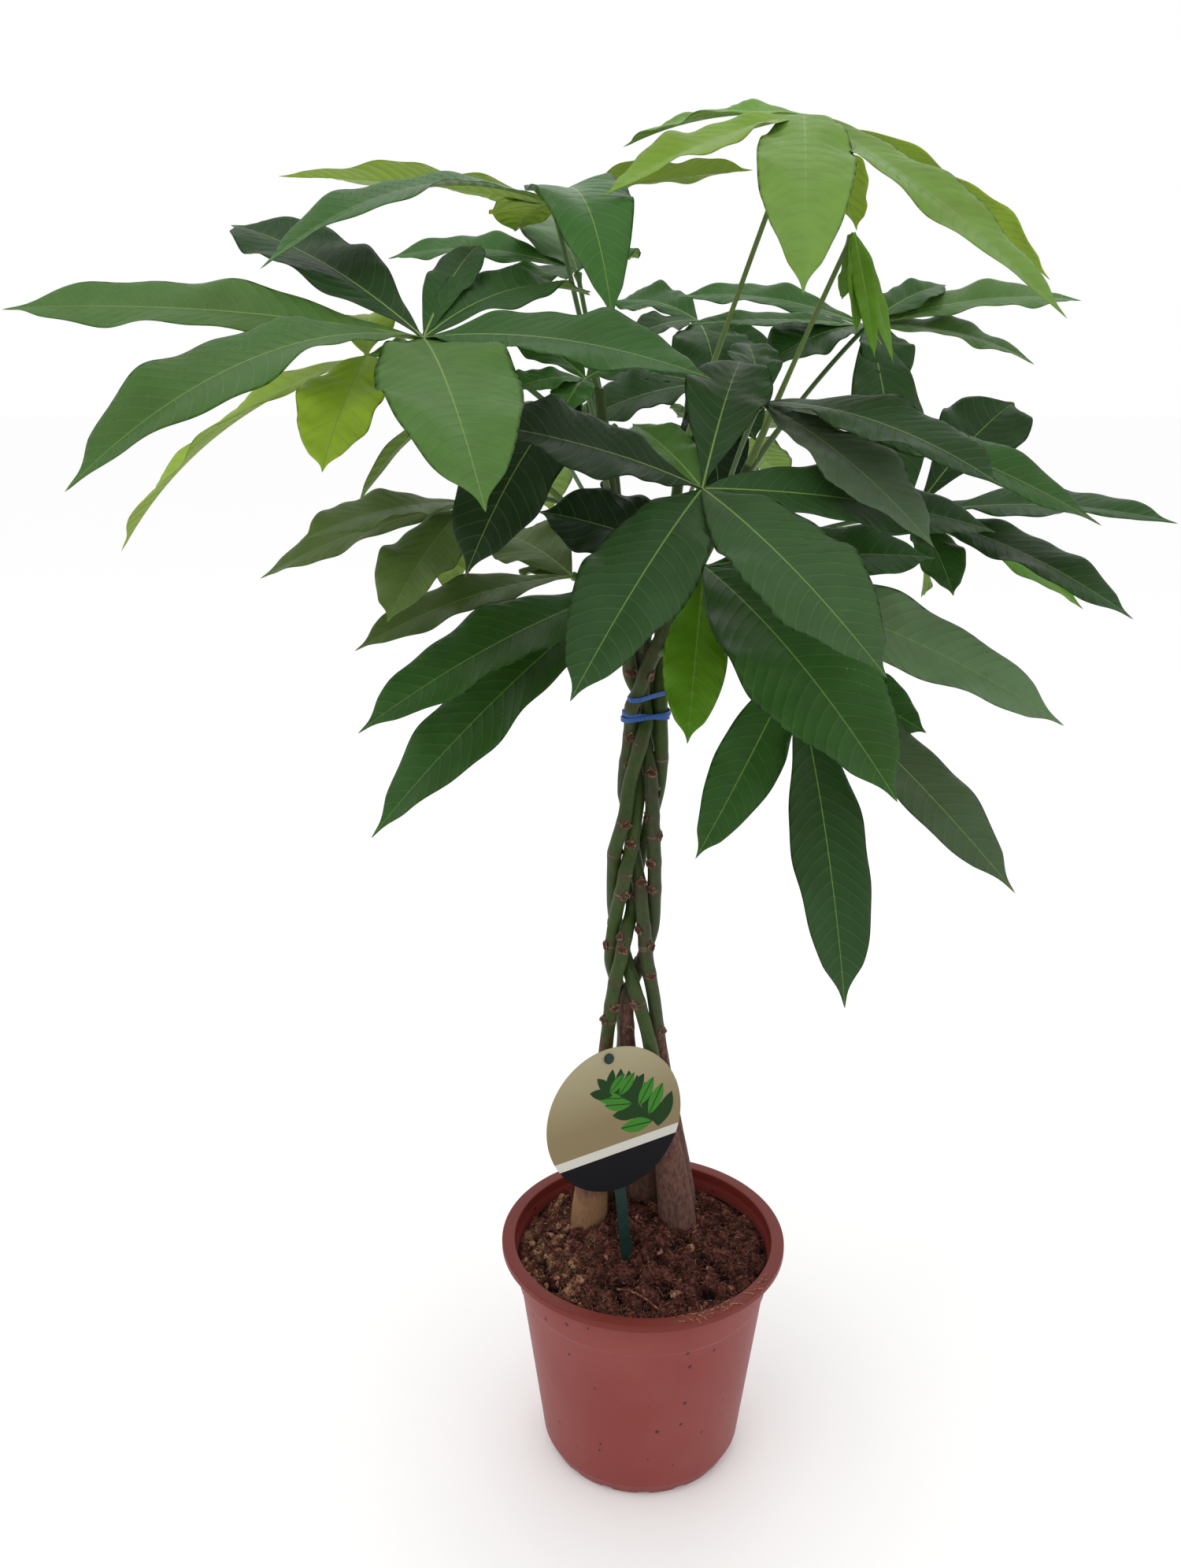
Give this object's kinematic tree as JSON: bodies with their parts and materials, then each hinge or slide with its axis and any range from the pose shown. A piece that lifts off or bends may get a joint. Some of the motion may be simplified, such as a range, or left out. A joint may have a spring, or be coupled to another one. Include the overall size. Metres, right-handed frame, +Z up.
{
  "type": "potted money tree",
  "caption": "Plaited stems with palmate leaves of long leaflets, standing in soil in a round nursery pot, with a tie band and a round card on a stake.",
  "frame": {"origin": "middle of the pot's base, on the surface that it stands on", "axes": "+Z up along the pot's axis, +Y away from the side that the card faces, +X to the right seen from the card's side"},
  "size_m": [0.6554, 0.6342, 0.9502],
  "materials": {
    "pot_plastic": "satin terracotta red",
    "peat_soil": "rough, fibrous and crumbly",
    "bark": "green bark with leaf scars, brown and woody below",
    "blue_rubber": "matte",
    "leaf": "satin, with pale ribs",
    "young_leaf": "satin, light green",
    "green_plastic": "smooth",
    "card": "printed film"
  },
  "bodies": {
    "root": {"pot": "pot_plastic", "soil": "peat_soil", "stem_1": "bark", "stem_2": "bark", "stem_3": "bark", "stem_4": "bark", "stem_5": "bark", "rubber_band": "blue_rubber", "leaf_front_left": "leaf", "leaf_front_middle": "leaf", "leaf_front_low": "leaf", "leaf_left_low": "leaf", "leaf_left_low_front": "leaf", "leaf_left_middle": "leaf", "leaf_left_heart": "leaf", "leaf_heart_back": "leaf", "leaf_heart_top": "leaf", "leaf_right_front": "leaf", "leaf_right_wide": "leaf", "leaf_right_back": "leaf", "leaf_young": "young_leaf", "leaf_top_right": "leaf", "leaf_top_left": "leaf", "leaf_left_back": "leaf", "leaf_left_under": "leaf", "leaf_low_right": "leaf", "leaf_back_left": "leaf", "leaf_back_right": "leaf", "label_stake": "green_plastic", "label_card": "card"}
  },
  "joints": []
}
